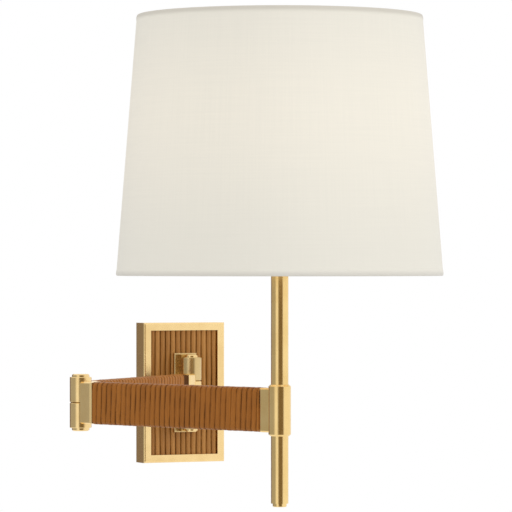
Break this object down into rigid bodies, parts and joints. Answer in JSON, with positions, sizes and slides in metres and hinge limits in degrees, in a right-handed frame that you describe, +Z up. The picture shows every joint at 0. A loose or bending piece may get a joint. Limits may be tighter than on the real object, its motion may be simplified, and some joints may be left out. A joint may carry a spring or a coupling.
{
  "type": "swing arm wall sconce",
  "caption": "Swing arm wall sconce with a reed panel backplate, two rattan-wrapped arms on barrel hinges, a round brass stem and a tapered linen drum shade.",
  "frame": {"origin": "centre of the backplate on the wall, midway between the two box screw slots", "axes": "+Z up, +Y into the wall and away from the sconce, +X to the right as seen from the room"},
  "size_m": [0.2802, 0.5802, 0.4199],
  "materials": {
    "brass": "satin, lightly brushed and lacquered",
    "rattan_wrap": "split rattan strand, varnished",
    "rattan_reed": "half-round rattan reeds, varnished",
    "linen": "matt linen on a hard liner",
    "shade_wire": "white enamel",
    "plated_steel": "zinc plated",
    "arm_steel": "plain, covered by the wrap",
    "ground_green": "green, zinc plated",
    "board": "stained board",
    "washer_fibre": "dark fibre",
    "socket_brass": "satin brass shell",
    "socket_black": "black phenolic",
    "bulb_glass": "frosted",
    "bulb_cap": "bright aluminium"
  },
  "bodies": {
    "wall_plate": {"mounting_strap": "plated_steel", "ground_screw": "ground_green", "backplate_frame": "brass", "frame_screws": "brass", "panel_board": "board", "panel_screws": "plated_steel", "panel_reeds": "rattan_reed", "hinge_bracket": "brass", "bracket_screws": "plated_steel", "wall_pin": "plated_steel", "wall_pin_caps": "brass"},
    "rear_arm": {"rear_wall_ferrule": "brass", "wall_washers": "washer_fibre", "rear_arm_tube": "arm_steel", "rear_wrap": "rattan_wrap", "rear_elbow_ferrule": "brass", "elbow_washer": "washer_fibre"},
    "front_arm": {"front_elbow_ferrule": "brass", "elbow_pin": "plated_steel", "elbow_pin_caps": "brass", "front_arm_tube": "arm_steel", "front_wrap": "rattan_wrap", "front_stem_ferrule": "brass"},
    "lamp_stem": {"stem_tube": "brass", "stem_foot_cap": "brass", "stem_keeper_ring": "washer_fibre", "stem_plug": "socket_brass", "socket_nipple": "plated_steel", "harp_saddle": "socket_brass", "harp": "socket_brass", "harp_sleeves": "plated_steel", "socket_cap": "socket_brass", "socket_shell": "socket_brass", "socket_liner": "socket_black", "socket_holder": "socket_black", "socket_screw_shell": "socket_brass", "bulb_base": "bulb_cap", "bulb_glass": "bulb_glass", "shade_skin": "linen", "shade_top_ring": "shade_wire", "shade_bottom_ring": "shade_wire", "shade_top_hem": "linen", "shade_bottom_hem": "linen", "finial": "brass"},
    "switch_key": {"switch_key": "socket_black"}
  },
  "joints": [
    {"name": "wall_pivot", "type": "hinge", "parent": "wall_plate", "child": "rear_arm", "pos_m": [0, -0.0365, 0], "axis": [0, 0, 1], "range_deg": [-32, 126]},
    {"name": "elbow_pivot", "type": "hinge", "parent": "rear_arm", "child": "front_arm", "pos_m": [-0.18284, -0.207, 0], "axis": [0, 0, 1], "range_deg": [-153, 17]},
    {"name": "stem_swivel", "type": "hinge", "parent": "front_arm", "child": "lamp_stem", "pos_m": [-0.09243, -0.44008, 0], "axis": [0, 0, 1], "range_deg": [-150, 150]},
    {"name": "switch_turn", "type": "hinge", "parent": "lamp_stem", "child": "switch_key", "pos_m": [-0.09243, -0.44008, 0.164], "axis": [0, -1, 0], "continuous": true}
  ]
}
